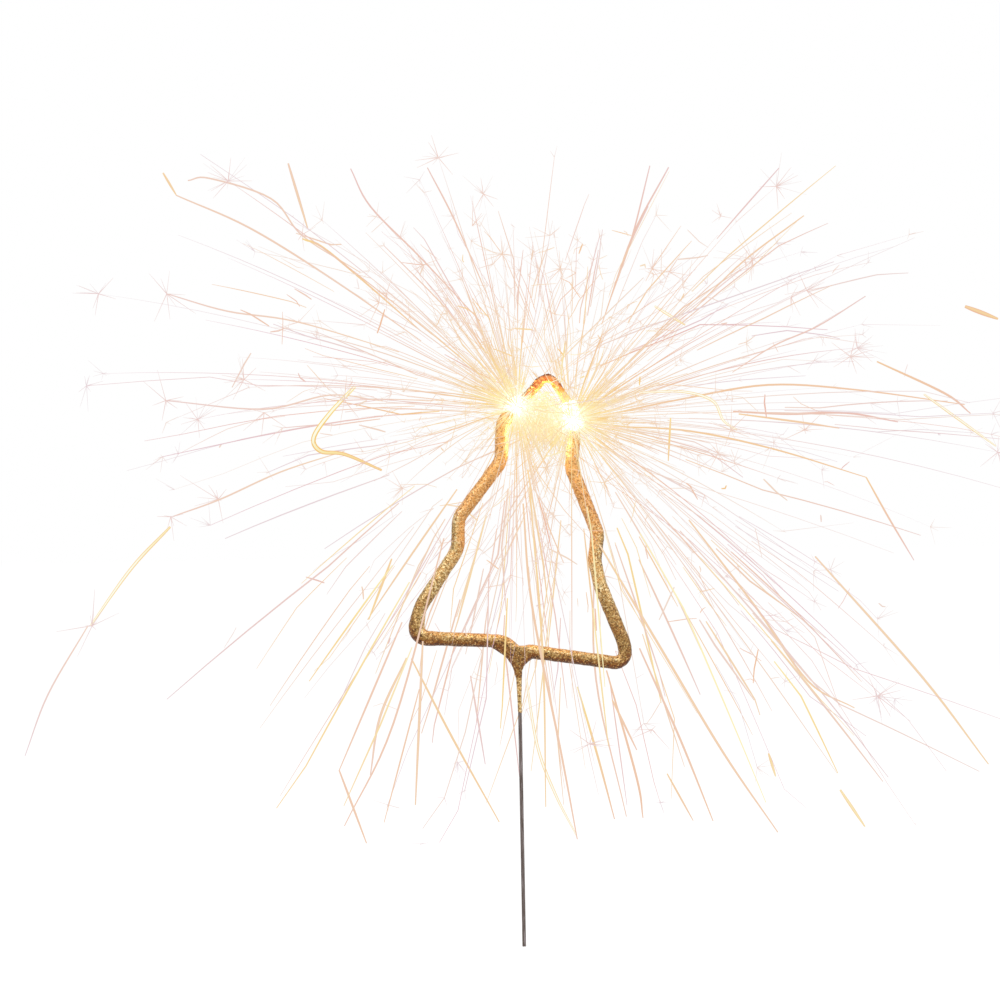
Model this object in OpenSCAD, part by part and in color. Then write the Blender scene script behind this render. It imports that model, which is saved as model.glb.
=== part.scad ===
// A fir-tree sparkler, alight. One steel wire is bent into a tree on a bare stem and dipped in a
// glittering crust. Two fronts near the tip burn the crust away and throw sparks. The origin is the
// stem's foot, the stem stands on +Z and the tree lies in the XZ plane.

/* [Wire] */
// Diameter of the steel wire
wire_d = 1.15; // [0.8:0.05:1.5]
// Bare length of the stem, from its foot up to the crust's drip
stem_l = 71.4; // [45:0.1:140]
// Length of the wire's short tail, from the base down into the neck
tail_l = 4.6; // [4:0.1:6]

/* [Tree] */
// Width between the wire's centre lines at the two lower corners
tree_w = 64.8; // [50:0.1:80]
// Height of the wire's centre line, from the lower right corner to the tip
tree_h = 89.2; // [75:0.1:110]
// Height of the lower right corner above the bare stem
neck_l = 14; // [12:0.1:20]

/* [Bends] */
// Bend radius where the stem turns into the base
neck_bend_r = 7; // [5:0.1:8]
// Bend radius at the lower left corner
corner_bend_r = 3.6; // [3:0.1:4.5]
// Bend radius at the lower right corner
heel_bend_r = 3.1; // [3:0.1:4]
// Bend radius at the burnt tip
tip_bend_r = 2.6; // [2.4:0.1:3.2]
// Bend radius of the shoulders, waists and boughs
bough_bend_r = 6.5; // [4:0.1:7.5]
// Bend radius of the sweeping bends low on the arms
sweep_bend_r = 11; // [8:0.1:14]
// Bend radius of the tail
tail_bend_r = 2.2; // [2:0.1:2.5]

/* [Crust] */
// Diameter of the dipped crust
crust_d = 4.2; // [3.4:0.1:4.6]
// Diameter of the thicker bead where the crust pooled at the lower left corner
pool_d = 4.9; // [4.7:0.1:5.5]
// Diameter of the bead where the base runs into the neck
neck_bead_d = 4.4; // [4.3:0.1:5]
// Thickness of the gold film on the wire where the drip begins to swell
film_t = 0.16; // [0.1:0.01:0.25]
// Thickness of the film at its lower end
film_end_t = 0.06; // [0.04:0.01:0.1]
// Length of the film, up to where the drip begins to swell
film_l = 8.1; // [6:0.1:9]
// Gap between the wire and what is stuck to it, and between pieces that meet round it
bond_gap = 0.02; // [0.01:0.01:0.05]

/* [Burnt tip] */
// Diameter of the slag that is left on the burnt tip
slag_d = 2.7; // [2.2:0.1:3.2]
// Diameter of the lumps in the slag
lump_d = 3.3; // [3:0.1:3.8]

/* [Fronts] */
// Diameter of the left burning front
left_front_d = 6.4; // [5.6:0.1:7]
// Diameter of the right burning front
right_front_d = 6.2; // [5.6:0.1:7]
// Diameter of the smaller flare above the right front
flare_d = 4.6; // [4:0.1:5]
// Distance between the centres of the right front and its flare
flare_rise = 3.6; // [3:0.1:4]
// Thickness of crust that burns through at a time
burn_l = 2; // [1.5:0.1:3]

/* [Sparks] */
// Furthest that a spark flies to the side of its front
side_reach = 146; // [100:1:180]
// Furthest that a spark flies above its front
rise_reach = 76; // [50:1:100]
// Furthest that a spark falls below its front
fall_reach = 124; // [80:1:125]
// Furthest that a spark flies towards the front or the back
depth_reach = 104; // [70:1:140]
// Longest flight of the short sparks that die near their front
short_l = 30; // [15:1:45]
// How far a level flight would go to droop by its own length
droop_l = 1100; // [800:50:3000]
// Diameter of a spark where it leaves the front
spark_d = 0.4; // [0.3:0.02:0.44]
// Diameter of a spark at its tip
spark_tip_d = 0.24; // [0.16:0.02:0.3]
// Length of the short rays where a spark bursts
burst_l = 7; // [4:0.5:9]

/* [Hidden] */
$fn = 64;

// Straight length of crust kept between a bend and a seam, and what a cut runs past its piece
seam_l = 1;
over_l = 0.5;
// A straight run laps a little over the bends at its ends, which are that much thinner all round
lap_l = 0.1;
thin_t = 0.015;

// Corners of the bent wire in order: shares of the tree's width from the stem, and of its height
// above the lower right corner. The first and last points and the tail's x follow other sizes.
NECK = 1; LEFT_CORNER = 2; SHOULDER = 7; TIP = 8; RIGHT_SHOULDER = 9; AFTER_FRONT = 10;
RIGHT_CORNER = 16; TAIL = 17;
CORNER_SHARES = [
    [-0.006, 0.084], [-0.492, 0.104], [-0.461, 0.208], [-0.278, 0.404], [-0.273, 0.510],
    [-0.067, 0.702], [-0.059, 0.832], [0.161, 1], [0.258, 0.893], [0.278, 0.776],
    [0.262, 0.677], [0.381, 0.450], [0.364, 0.355], [0.388, 0.272], [0.494, 0.076], [0.508, 0]
];
TAIL_RISE_SHARE = 0.054;
BENDS = [
    neck_bend_r, corner_bend_r, sweep_bend_r, bough_bend_r, bough_bend_r,
    bough_bend_r, bough_bend_r, tip_bend_r, bough_bend_r, sweep_bend_r,
    bough_bend_r, bough_bend_r, bough_bend_r, sweep_bend_r, sweep_bend_r, heel_bend_r, tail_bend_r
];
tree_z = stem_l + neck_l;
tail_x = wire_d + bond_gap;
tail_z = tree_z + TAIL_RISE_SHARE * tree_h;
CORNERS = [
    [0, stem_l],
    for (s = CORNER_SHARES) [s[0] * tree_w, tree_z + s[1] * tree_h],
    [tail_x, tail_z],
    [tail_x, tail_z - tail_l]
];

// A bend is never so tight that what lies on the wire there folds onto itself
TIGHTEST_SHARE = 1.4;
function thickness(i) = i == TIP ? slag_d : i == TAIL ? wire_d : crust_d;
function radius(i) = max(BENDS[i - 1], thickness(i) / 2 * TIGHTEST_SHARE);
function unit(v) = v / norm(v);
function heading(i) = unit(CORNERS[i + 1] - CORNERS[i]);
function turn(i) = let (a = heading(i - 1), b = heading(i)) atan2(a.x * b.y - a.y * b.x, a * b);
function trim(i) = radius(i) * tan(abs(turn(i)) / 2);
// Where bend i begins and ends. The wire's two ends have no bend.
function bend_in(i) = i > TAIL ? CORNERS[i] : CORNERS[i] - heading(i - 1) * trim(i);
function bend_out(i) = i < NECK ? CORNERS[i] : CORNERS[i] + heading(i) * trim(i);
// A place on the straight run after corner i, as a share of that run
function spot(i, share) = bend_out(i) + share * (bend_in(i + 1) - bend_out(i));
function before_bend(i) = bend_in(i) - heading(i - 1) * seam_l;
function after_bend(i) = bend_out(i) + heading(i) * seam_l;

// Seams between the nodes of the crust, each square to the wire
left_neck_seam = after_bend(NECK);
left_corner_seam = before_bend(LEFT_CORNER);
right_corner_seam = after_bend(RIGHT_CORNER);
right_neck_seam = before_bend(TAIL);

// Centres of the burning fronts, and where the crust ends and the slag begins on either side
LEFT_FRONT_SHARE = 0.28;
RIGHT_FRONT_SHARE = 0.48;
left_front_at = spot(SHOULDER, LEFT_FRONT_SHARE);
right_front_at = spot(RIGHT_SHOULDER, RIGHT_FRONT_SHARE);
flare_at = right_front_at - heading(RIGHT_SHOULDER) * flare_rise;
half_burn = burn_l / 2;
left_crust_end = left_front_at - heading(SHOULDER) * half_burn;
left_slag_end = left_front_at + heading(SHOULDER) * half_burn;
right_slag_end = right_front_at - heading(RIGHT_SHOULDER) * half_burn;
right_crust_end = right_front_at + heading(RIGHT_SHOULDER) * half_burn;

// Lumps in the slag: the corner before each, and its share of the straight run after it
LUMP_SHARES = [[SHOULDER, 0.62], [SHOULDER, 0.94], [TIP, 0.3]];

// The drip under the base: shares of its length down from the bend, with shares of the crust's
// extra width over the film
DRIP_SHARES = [[0, 1], [0.22, 0.42], [0.7, 0.24], [1, 0]];
film_d = wire_d + 2 * bond_gap + 2 * film_t;
film_end_d = wire_d + 2 * bond_gap + 2 * film_end_t;
// The wire leans a little in the neck. What leans starts this far below the stem's top and is cut
// level there.
dip_l = over_l / 2;

// Sparks leave each front in evenly spread directions, mostly on its own side. Every second one
// and all that fall steeply fly far. The others die near the front.
SPARK_COUNT = 460;
GOLDEN_TURN = 180 * (3 - sqrt(5));
LUCK_SHARE = sqrt(6); // steps of a spark's luck, out of time with the golden turn
LONG_EVERY = 2;
STEEP_SHARE = 0.45; // share of a flight that counts as falling steeply
LEAN_SHARE = -0.2; // least share of a spark's flight that goes to its own side
DOWN_SHARE = 0.2; // share of a flight that counts as falling
DEPTH_SHARE = 0.45; // least share of a falling flight that clears the tree's plane
SHORTEST_SHARE = 0.3; // shortest flight, as a share of the longest that way
BOXY = 4; // how squarely the burst fills its reach: 2 is an egg, more is closer to a box
// Least angle between a spark and the crust that leads to its front, and the flare or the slag
CLEAR_ANGLE = 52;
flare_angle = asin(((flare_d + spark_d) / 2 + bond_gap) / flare_rise);
FLIGHT_SHARES = [0, 0.4, 0.75, 1]; // where a long flight's straight pieces end
KINK_EVERY = 6; // one spark in so many turns aside near its end
KINK_L_SHARE = 0.2; // length of what follows the kink, as a share of the flight
KINK_TURN_SHARE = 0.7; // how far it turns aside
BURST_EVERY = 10; // one spark in so many ends in a burst
BURST_RAYS = 6;
SPARK_SIDES = 3;

function part_of(x) = x - floor(x);
function flight(k) = let (z = 1 - (2 * k + 1) / SPARK_COUNT, a = k * GOLDEN_TURN, r = sqrt(1 - z * z))
    [r * cos(a), r * sin(a), z];
function other_flight(k, steps) = flight((k + floor(SPARK_COUNT * steps / BURST_RAYS)) % SPARK_COUNT);
function between(a, b) = acos(a * b);
function in_space(v) = [v.x, 0, v.y];
function apart(d, away, angle) = between(d, in_space(away)) > angle;
function clears_tree(d) = d.z > -DOWN_SHARE || abs(d.y) > DEPTH_SHARE;
function reach(d) = let (reach_z = d.z > 0 ? rise_reach : fall_reach)
    pow(pow(d.x / side_reach, BOXY) + pow(d.y / depth_reach, BOXY) + pow(d.z / reach_z, BOXY), -1 / BOXY);
// A flight droops more the longer and the more level it is
function droop(d, far) = [0, 0, norm([d.x, d.y]) * far * far / droop_l];
function longest(d) = reach(unit(d * reach(d) - droop(d, reach(d))));
function is_long(k) = k % LONG_EVERY == 0 || flight(k).z < -STEEP_SHARE;
function spark_l(k) = let (luck = part_of(k * LUCK_SHARE))
    (is_long(k) ? longest(flight(k)) : short_l) * (SHORTEST_SHARE + (1 - SHORTEST_SHARE) * luck);
function on_flight(d, far) = d * far - droop(d, far);
// A spark's line from its front's face to its tip
function spark_line(k, from_r) = let (
        d = flight(k),
        kinked = k % KINK_EVERY == 0,
        run = spark_l(k) * (kinked ? 1 - KINK_L_SHARE : 1),
        aside = unit(d + KINK_TURN_SHARE * other_flight(k, BURST_RAYS / 2)))
    [
        for (s = is_long(k) ? FLIGHT_SHARES : [0, 1]) on_flight(d, from_r + s * (run - from_r)),
        if (kinked) on_flight(d, run) + aside * (spark_l(k) - run)
    ];

// A straight rod between two places in the tree's plane
module rod(a, b, d) {
    run = b - a;
    translate(in_space(a)) rotate([0, atan2(run.x, run.y), 0]) cylinder(d = d, h = norm(run));
}

// The bend at corner i
module bend(i, d) {
    side = sign(turn(i));
    along = heading(i - 1);
    centre = bend_in(i) + side * radius(i) * [-along.y, along.x];
    first = (side > 0 ? bend_in(i) : bend_out(i)) - centre;
    translate(in_space(centre)) rotate([90, -atan2(first.y, first.x), 0])
        rotate_extrude(angle = abs(turn(i))) translate([radius(i), 0]) circle(d = d - 2 * thin_t);
}

// The wire's way from place a after corner i to place b after corner j, as thick as d
module way(i, a, j, b, d) {
    for (k = [i : j]) {
        lap = heading(k) * lap_l;
        rod(k > i ? bend_out(k) - lap : a, k < j ? bend_in(k + 1) + lap : b, d);
    }
    if (j > i) for (k = [i + 1 : j]) bend(k, d);
}

// The same way as a hole for what it holds, run past both of its ends
module hole(i, a, j, b, d) {
    way(i, a - heading(i) * over_l, j, b + heading(j) * over_l, d + 2 * bond_gap);
}

module crust(i, a, j, b) {
    difference() {
        union() {
            way(i, a, j, b, crust_d);
            children();
        }
        hole(i, a, j, b, wire_d);
    }
}

module bead(at, d) {
    translate(in_space(at)) sphere(d = d);
}

module stem_wire() {
    color("#5a4f4c") cylinder(d = wire_d, h = stem_l);
}

module below_top() {
    translate([0, 0, stem_l - over_l]) cylinder(d = crust_d, h = over_l);
}

module loop_wire() {
    color("#5a4f4c") difference() {
        way(0, CORNERS[0] - heading(0) * dip_l, TAIL, CORNERS[TAIL + 1], wire_d);
        below_top();
    }
}

// The drip's outline, turned about the wire where it leans in the neck
module drip() {
    run = bend_in(NECK) - CORNERS[0];
    top = norm(run) + lap_l;
    translate(in_space(CORNERS[0])) rotate([0, atan2(run.x, run.y), 0]) rotate_extrude() polygon([
        [0, top],
        for (s = DRIP_SHARES) [(film_d + s[1] * (crust_d - film_d)) / 2, top - s[0] * (top - film_l)],
        [film_end_d / 2, -dip_l],
        [0, -dip_l]
    ]);
}

module neck_crust() {
    color("#b98a35") difference() {
        union() {
            drip();
            bend(NECK, crust_d);
            rod(bend_out(NECK) - heading(NECK) * lap_l, left_neck_seam, crust_d);
            rod(right_neck_seam, CORNERS[TAIL], crust_d);
            bead(CORNERS[TAIL], neck_bead_d);
        }
        hole(0, CORNERS[0], NECK, left_neck_seam, wire_d);
        hole(TAIL - 1, right_neck_seam, TAIL, CORNERS[TAIL + 1], wire_d);
        below_top();
    }
}

module left_base_crust() {
    color("#b98a35") crust(NECK, left_neck_seam, NECK, left_corner_seam);
}

module right_base_crust() {
    color("#b98a35") crust(RIGHT_CORNER, right_corner_seam, RIGHT_CORNER, right_neck_seam);
}

module left_arm_crust() {
    color("#c2933a") crust(NECK, left_corner_seam, SHOULDER, left_crust_end)
        bead((bend_in(LEFT_CORNER) + bend_out(LEFT_CORNER)) / 2, pool_d);
}

module right_arm_crust() {
    color("#c2933a") crust(RIGHT_SHOULDER, right_crust_end, RIGHT_CORNER, right_corner_seam);
}

module tip_slag() {
    color("#9c4a22") difference() {
        union() {
            way(SHOULDER, left_slag_end, RIGHT_SHOULDER, right_slag_end, slag_d);
            for (s = LUMP_SHARES) bead(spot(s[0], s[1]), lump_d);
        }
        hole(SHOULDER, left_slag_end, RIGHT_SHOULDER, right_slag_end, wire_d);
    }
}

module left_front() {
    color("#fff3bf") difference() {
        bead(left_front_at, left_front_d);
        way(SHOULDER - 1, bend_out(SHOULDER - 1), SHOULDER, left_crust_end, crust_d + 2 * bond_gap);
        way(SHOULDER, left_slag_end, TIP, bend_out(TIP), slag_d + 2 * bond_gap);
        way(SHOULDER, bend_out(SHOULDER), SHOULDER, bend_in(TIP), wire_d + 2 * bond_gap);
    }
}

module right_front() {
    next_bend = bend_in(AFTER_FRONT + 1);
    color("#fff3bf") difference() {
        union() {
            bead(right_front_at, right_front_d);
            bead(flare_at, flare_d);
        }
        way(TIP, bend_out(TIP), RIGHT_SHOULDER, right_slag_end, slag_d + 2 * bond_gap);
        way(RIGHT_SHOULDER, right_crust_end, AFTER_FRONT, next_bend, crust_d + 2 * bond_gap);
        way(RIGHT_SHOULDER, bend_out(RIGHT_SHOULDER), AFTER_FRONT, next_bend, wire_d + 2 * bond_gap);
    }
}

// A thin trail of light along a line that leads away in direction d and narrows to its end
module trail(line, d, wide, narrow) {
    across = unit(cross(d, abs(d.y) < abs(d.z) ? [0, 1, 0] : [0, 0, 1]));
    aside = cross(d, across);
    last = len(line) - 1;
    polyhedron(
        points = [for (i = [0 : last], k = [0 : SPARK_SIDES - 1])
            let (r = (wide + (narrow - wide) * i / last) / 2, a = k * 360 / SPARK_SIDES)
            line[i] + r * (cos(a) * across + sin(a) * aside)],
        faces = [
            [for (k = [0 : SPARK_SIDES - 1]) k],
            for (i = [1 : last], k = [0 : SPARK_SIDES - 1])
                let (b = i * SPARK_SIDES, a = b - SPARK_SIDES, n = (k + 1) % SPARK_SIDES)
                each [[a + k, b + k, b + n], [a + k, b + n, a + n]],
            [for (k = [SPARK_SIDES - 1 : -1 : 0]) last * SPARK_SIDES + k]
        ]
    );
}

// One spark, from the face of its front to its tip. Some burst there.
module spark(k, from_r) {
    line = spark_line(k, from_r);
    tip = line[len(line) - 1];
    trail(line, flight(k), spark_d, spark_tip_d);
    if (k % BURST_EVERY == 0) for (j = [0 : BURST_RAYS - 1]) {
        out = other_flight(k, j);
        trail([tip - out * spark_tip_d / 2, tip + out * burst_l], out, spark_tip_d, spark_tip_d / 2);
    }
}

// All sparks of one front that keep to its side and clear the tree
module sparks(side, at, front_d, crust_way, flare_way) {
    translate(in_space(at)) for (k = [0 : SPARK_COUNT - 1]) {
        d = flight(k);
        if (side * d.x > LEAN_SHARE && clears_tree(d) && apart(d, crust_way, CLEAR_ANGLE)
            && apart(d, flare_way, flare_angle))
            spark(k, front_d / 2 + bond_gap);
    }
}

module left_sparks() {
    color("#ffb45e") sparks(-1, left_front_at, left_front_d, -heading(SHOULDER), heading(SHOULDER));
}

module right_sparks() {
    color("#ffb45e") sparks(1, right_front_at, right_front_d, heading(RIGHT_SHOULDER),
        unit(flare_at - right_front_at));
}

stem_wire();
loop_wire();
neck_crust();
left_base_crust();
right_base_crust();
left_arm_crust();
right_arm_crust();
tip_slag();
left_front();
right_front();
left_sparks();
right_sparks();
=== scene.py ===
"""Dresses the fir-tree sparkler: its grainy gold crust, glowing slag, burning fronts and sparks.

Shapes are built in millimetres, in the part's own frame, and settle() turns them to metres.
"""

import math
import random

import bmesh
import bpy
from mathutils import Color, Matrix, Vector, noise


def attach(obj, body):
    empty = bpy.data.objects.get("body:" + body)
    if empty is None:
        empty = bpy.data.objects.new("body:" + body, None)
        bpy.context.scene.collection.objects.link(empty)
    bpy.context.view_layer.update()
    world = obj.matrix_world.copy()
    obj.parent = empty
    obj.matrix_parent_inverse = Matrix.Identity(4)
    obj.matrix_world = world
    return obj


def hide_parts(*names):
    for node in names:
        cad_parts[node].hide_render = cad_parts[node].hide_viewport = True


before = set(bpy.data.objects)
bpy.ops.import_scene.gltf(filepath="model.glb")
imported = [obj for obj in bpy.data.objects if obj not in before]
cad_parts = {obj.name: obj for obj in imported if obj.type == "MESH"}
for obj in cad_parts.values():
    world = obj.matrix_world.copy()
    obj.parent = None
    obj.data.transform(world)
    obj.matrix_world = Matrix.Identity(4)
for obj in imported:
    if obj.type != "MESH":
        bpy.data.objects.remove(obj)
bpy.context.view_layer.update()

MM = 0.001
UP = Vector((0, 0, 1))

# The bent wire, with the part's own sizes
STEM_L = 71.4
TREE_W = 64.8
TREE_H = 89.2
TREE_Z = 85.4
TAIL_X = 1.17
TAIL_L = 4.6
TAIL_RISE_SHARE = 0.054
CORNER_SHARES = (
    (-0.006, 0.084), (-0.492, 0.104), (-0.461, 0.208), (-0.278, 0.404), (-0.273, 0.510),
    (-0.067, 0.702), (-0.059, 0.832), (0.161, 1), (0.258, 0.893), (0.278, 0.776),
    (0.262, 0.677), (0.381, 0.450), (0.364, 0.355), (0.388, 0.272), (0.494, 0.076), (0.508, 0),
)
BEND_RADII = (7, 3.6, 11, 6.5, 6.5, 6.5, 6.5, 2.6, 6.5, 11, 6.5, 6.5, 6.5, 11, 11, 3.1, 2.2)
LEFT_CORNER = 2
SHOULDER = 7
RIGHT_SHOULDER = 9
TAIL = 17

# How far apart the points of the wire's way are
STEP = 0.4

# The burning fronts, as shares of the straight runs that they lie on, what they burn at a time, and
# how far towards the tip the right one flares
LEFT_FRONT_SHARE = 0.28
RIGHT_FRONT_SHARE = 0.48
BURN_L = 2
FLARE_RISE = 3.6

# The fronts' light, painted into the crust as painted light and shade: what facing a front adds, what
# comes from the side at the base and at most, the rise above the base that adds a whole share to it, how
# far light carries, and the glow close by
FACING_LIGHT = 0.44
SIDE_LIGHT = 0.3
MOST_SIDE_LIGHT = 0.44
BASE_Z = 94
SIDE_LIGHT_RISE = 110
LIGHT_L = 30
GLOW_LIGHT = 0.38
GLOW_L = 15

# The crust and its pool at the left corner. Swellings and lumps are given by height and size.
CRUST_R = 2.1
POOL_R = 2.45
POOL_REACH = 5
SWELLS = ((0.13, 7), (0.06, 2.5))
LUMPS = ((0.09, 2.1), (0.07, 0.9))
GRAIN_H = 0.05
GRAIN_SIZE = 0.55
CRUST_VOXEL = 0.215
CRUST_SMOOTHING = 3

# The thin film and the drip above it: height, and share of the crust's radius
DRIP = ((71.4, 0.31), (76, 0.34), (79.5, 0.36), (82, 0.43), (84.2, 0.58), (87, 0.82), (90, 1))
DRIP_TOP = DRIP[-1][0]
FILM_TOP = DRIP[3][0]
FILM_GRAIN_SHARE = 0.35
# Painted light that the thin film gets at the least
FILM_LIGHT = 0.29
NECK_HALF_W = 2
# The web between the base and the neck: height, left edge, right edge, half its depth
WEB = (
    (78, -0.74, 0.72, 0.7), (80, -0.85, 0.76, 0.78), (82, -1.1, 0.85, 0.95), (84.2, -1.7, 1.0, 1.25),
    (85.7, -2.3, 1.7, 1.55), (86.6, -2.8, 2.7, 1.75), (87.6, -3.5, 4.2, 1.9), (88.6, -4.4, 6.5, 2),
    (89.6, -5.8, 8, 2.05), (90.6, -7.4, 8, 2.05), (91.6, -9, 6, 2.0),
)

# The slag, and how far from the right front it glows in full
SLAG_R = 1.35
SLAG_SWELL = 0.15
SLAG_SWELL_SIZE = 2.2
SLAG_LUMPS = ((0.28, 1.7), (0.16, 0.7), (0.06, 0.3))
SLAG_VOXEL = 0.13
SLAG_SMOOTHING = 2
SLAG_GLOW_L = 4.5

# The fronts' beads, by their half sizes, with lumps and spikes
LEFT_BEAD = (3.5, 3.1, 3.6)
RIGHT_BEAD = (3.6, 3.2, 3.7)
FLARE_BEAD = (2.9, 2.5, 3.0)
BEAD_LUMPS = ((0.25, 1.6),)
SPIKE_H = 2.2
SPIKE_SIZE = 0.8
BEAD_VOXEL = 0.22
BEAD_SMOOTHING = 2

# What the sparks may reach, in the part's frame
BURST_LOW = Vector((-147, -103, 36))
BURST_HIGH = Vector((160, 105, 245))


def srgb(red, green, blue):
    """A colour given in the usual 0 to 255, as nodes want it"""
    return (*Color((red / 255, green / 255, blue / 255)).from_srgb_to_scene_linear(), 1)


def grey(level):
    return (level, level, level, 1)


def graded(first, last, count):
    """Evenly spaced numbers from first to last"""
    return [first + (last - first) * i / (count - 1) for i in range(count)]


# The wire's way

def in_space(p):
    """A point of the tree's plane as a place in space"""
    return Vector((p.x, 0, p.y))


def corners():
    tail_top = TREE_Z + TAIL_RISE_SHARE * TREE_H
    inner = [(x * TREE_W, TREE_Z + z * TREE_H) for x, z in CORNER_SHARES]
    return [Vector(p) for p in [(0, STEM_L), *inner, (TAIL_X, tail_top), (TAIL_X, tail_top - TAIL_L)]]


def bend(before, at, after, radius):
    """Points round one bend, from the end of one straight run to the start of the next"""
    come, go = (at - before).normalized(), (after - at).normalized()
    turn = math.atan2(come.cross(go), come.dot(go))
    start = at - come * radius * math.tan(abs(turn) / 2)
    centre = start + Vector((-come.y, come.x)) * math.copysign(radius, turn)
    steps = max(2, math.ceil(abs(turn) * radius / STEP))
    spoke = start - centre
    return [centre + Matrix.Rotation(turn * k / steps, 2) @ spoke for k in range(steps + 1)]


CORNERS = corners()
BENDS = [bend(*c) for c in zip(CORNERS, CORNERS[1:], CORNERS[2:], BEND_RADII)]


def heading(i):
    """Which way the straight run after corner i goes"""
    return (CORNERS[i + 1] - CORNERS[i]).normalized()


def spot(i, share):
    """A place on the straight run after corner i"""
    return BENDS[i - 1][-1].lerp(BENDS[i][0], share)


def middle_of_bend(i):
    points = BENDS[i - 1]
    return in_space(points[len(points) // 2])


def way(start, first, last, end):
    """Points along the wire from start, after corner first, to end, after corner last"""
    line = [start] + [p for b in BENDS[first:last] for p in b] + [end]
    points = [line[0]]
    for a, b in zip(line, line[1:]):
        steps = max(1, round((b - a).length / STEP))
        points += [a.lerp(b, k / steps) for k in range(1, steps + 1)]
    return [in_space(p) for p in points]


LEFT_FRONT = spot(SHOULDER, LEFT_FRONT_SHARE)
RIGHT_FRONT = spot(RIGHT_SHOULDER, RIGHT_FRONT_SHARE)
FLARE = RIGHT_FRONT - heading(RIGHT_SHOULDER) * FLARE_RISE
FRONTS = (in_space(LEFT_FRONT), in_space(RIGHT_FRONT))
HALF_BURN = BURN_L / 2
POOL = middle_of_bend(LEFT_CORNER)


# Meshes

def new_object(name, data):
    thing = bpy.data.objects.new(name, data)
    bpy.context.scene.collection.objects.link(thing)
    return thing


def turns_of(sides):
    """Even angles round a circle"""
    return [math.tau * k / sides for k in range(sides)]


def along_at(points, i):
    """Which way a line runs at its point i"""
    return (points[min(i + 1, len(points) - 1)] - points[max(i - 1, 0)]).normalized()


def tube(bm, points, radii, sides=20):
    """A closed tube along points that lie in the tree's plane"""
    rings = []
    for i, (p, r) in enumerate(zip(points, radii)):
        along = along_at(points, i)
        out = Vector((along.z, 0, -along.x))
        rings.append([bm.verts.new(p + out * (r * math.cos(a)) + Vector((0, r * math.sin(a), 0)))
                      for a in turns_of(sides)])
    skin(bm, rings)


def skin(bm, rings):
    """Joins rings of points into a closed skin"""
    sides = len(rings[0])
    for a, b in zip(rings, rings[1:]):
        for k in range(sides):
            n = (k + 1) % sides
            bm.faces.new((a[k], a[n], b[n], b[k]))
    bm.faces.new(reversed(rings[0]))
    bm.faces.new(rings[-1])


def loft(bm, sections, sides=28):
    """A closed skin over upright ellipses: height, left edge, right edge, half depth"""
    rings = []
    for z, left, right, depth in sections:
        middle, half = (left + right) / 2, (right - left) / 2
        rings.append([bm.verts.new((middle + half * math.cos(a), depth * math.sin(a), z))
                      for a in turns_of(sides)])
    skin(bm, rings)


def remeshed(bm, name, voxel, smooth_rounds):
    """Fuses overlapping closed skins into one even mesh"""
    bmesh.ops.recalc_face_normals(bm, faces=bm.faces)
    rough = bpy.data.meshes.new(name)
    bm.to_mesh(rough)
    bm.free()
    thing = new_object(name, rough)
    remesh = thing.modifiers.new("fuse", "REMESH")
    remesh.mode = "VOXEL"
    remesh.voxel_size = voxel
    dg = bpy.context.evaluated_depsgraph_get()
    fine = bpy.data.meshes.new_from_object(thing.evaluated_get(dg))
    thing.modifiers.clear()
    thing.data = fine
    bpy.data.meshes.remove(rough)
    smoothed = bmesh.new()
    smoothed.from_mesh(fine)
    for _ in range(smooth_rounds):
        bmesh.ops.smooth_vert(smoothed, verts=smoothed.verts, factor=0.5,
                              use_axis_x=True, use_axis_y=True, use_axis_z=True)
    smoothed.to_mesh(fine)
    smoothed.free()
    return thing


def lumpy(p, layers):
    """Noise of several sizes added up, each layer a height and a size"""
    return sum(height * noise.noise(p / size) for height, size in layers)


def roughen(thing, height):
    """Moves each point along its normal by height(point), in millimetres"""
    mesh = thing.data
    normals = [v.normal.copy() for v in mesh.vertices]
    for v, n in zip(mesh.vertices, normals):
        v.co += n * height(v.co)
    mesh.update()


def paint(thing, name, value):
    """Keeps value(point, normal) on each point as a named attribute"""
    mesh = thing.data
    layer = mesh.attributes.new(name, "FLOAT", "POINT")
    for v, item in zip(mesh.vertices, layer.data):
        item.value = value(v.co, v.normal)


def settle(thing, material, slot, *nodes):
    """Turns a finished shape to metres and lets it stand for its CAD nodes"""
    thing.data.transform(Matrix.Scale(MM, 4))
    thing.data.polygons.foreach_set("use_smooth", [True] * len(thing.data.polygons))
    thing.data.materials.clear()
    thing.data.materials.append(material)
    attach(thing, "root")
    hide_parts(*nodes)


# Crust

def firelight(point, normal):
    """How much of the fronts' light a place gets, from 0 to 1, which the crust paints in as painted light
    and shade: more close to one and facing it. The arms get some from sparks that fly past, the base
    hardly any."""
    beside = min(MOST_SIDE_LIGHT, SIDE_LIGHT + max(0, point.z - BASE_Z) / SIDE_LIGHT_RISE)
    total = 0
    for front in FRONTS:
        way_to = front - point
        far = way_to.length
        facing = max(0, beside + FACING_LIGHT * normal.dot(way_to / far))
        total += facing / (1 + far / LIGHT_L) + GLOW_LIGHT * math.exp(-far / GLOW_L)
    return min(1, total)


def crust_fire(point, normal):
    """The fronts' light on the crust, painted in as painted light and shade. The thin pale film gets some
    painted light anyway.
    """
    return max(firelight(point, normal), FILM_LIGHT if point.z < FILM_TOP else 0)


def drip_share(z):
    if z <= DRIP[0][0]:
        return DRIP[0][1]
    for (z0, s0), (z1, s1) in zip(DRIP, DRIP[1:]):
        if z <= z1:
            return s0 + (s1 - s0) * (z - z0) / (z1 - z0)
    return 1


def crust_radius(p):
    """The crust's radius where the wire passes p, with slow swellings"""
    pool = math.exp(-((p - POOL).length / POOL_REACH) ** 2)
    full = CRUST_R + lumpy(p, SWELLS) + (POOL_R - CRUST_R) * pool
    in_neck = abs(p.x) < NECK_HALF_W
    return full * drip_share(p.z) if in_neck and p.z < DRIP_TOP else full


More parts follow.
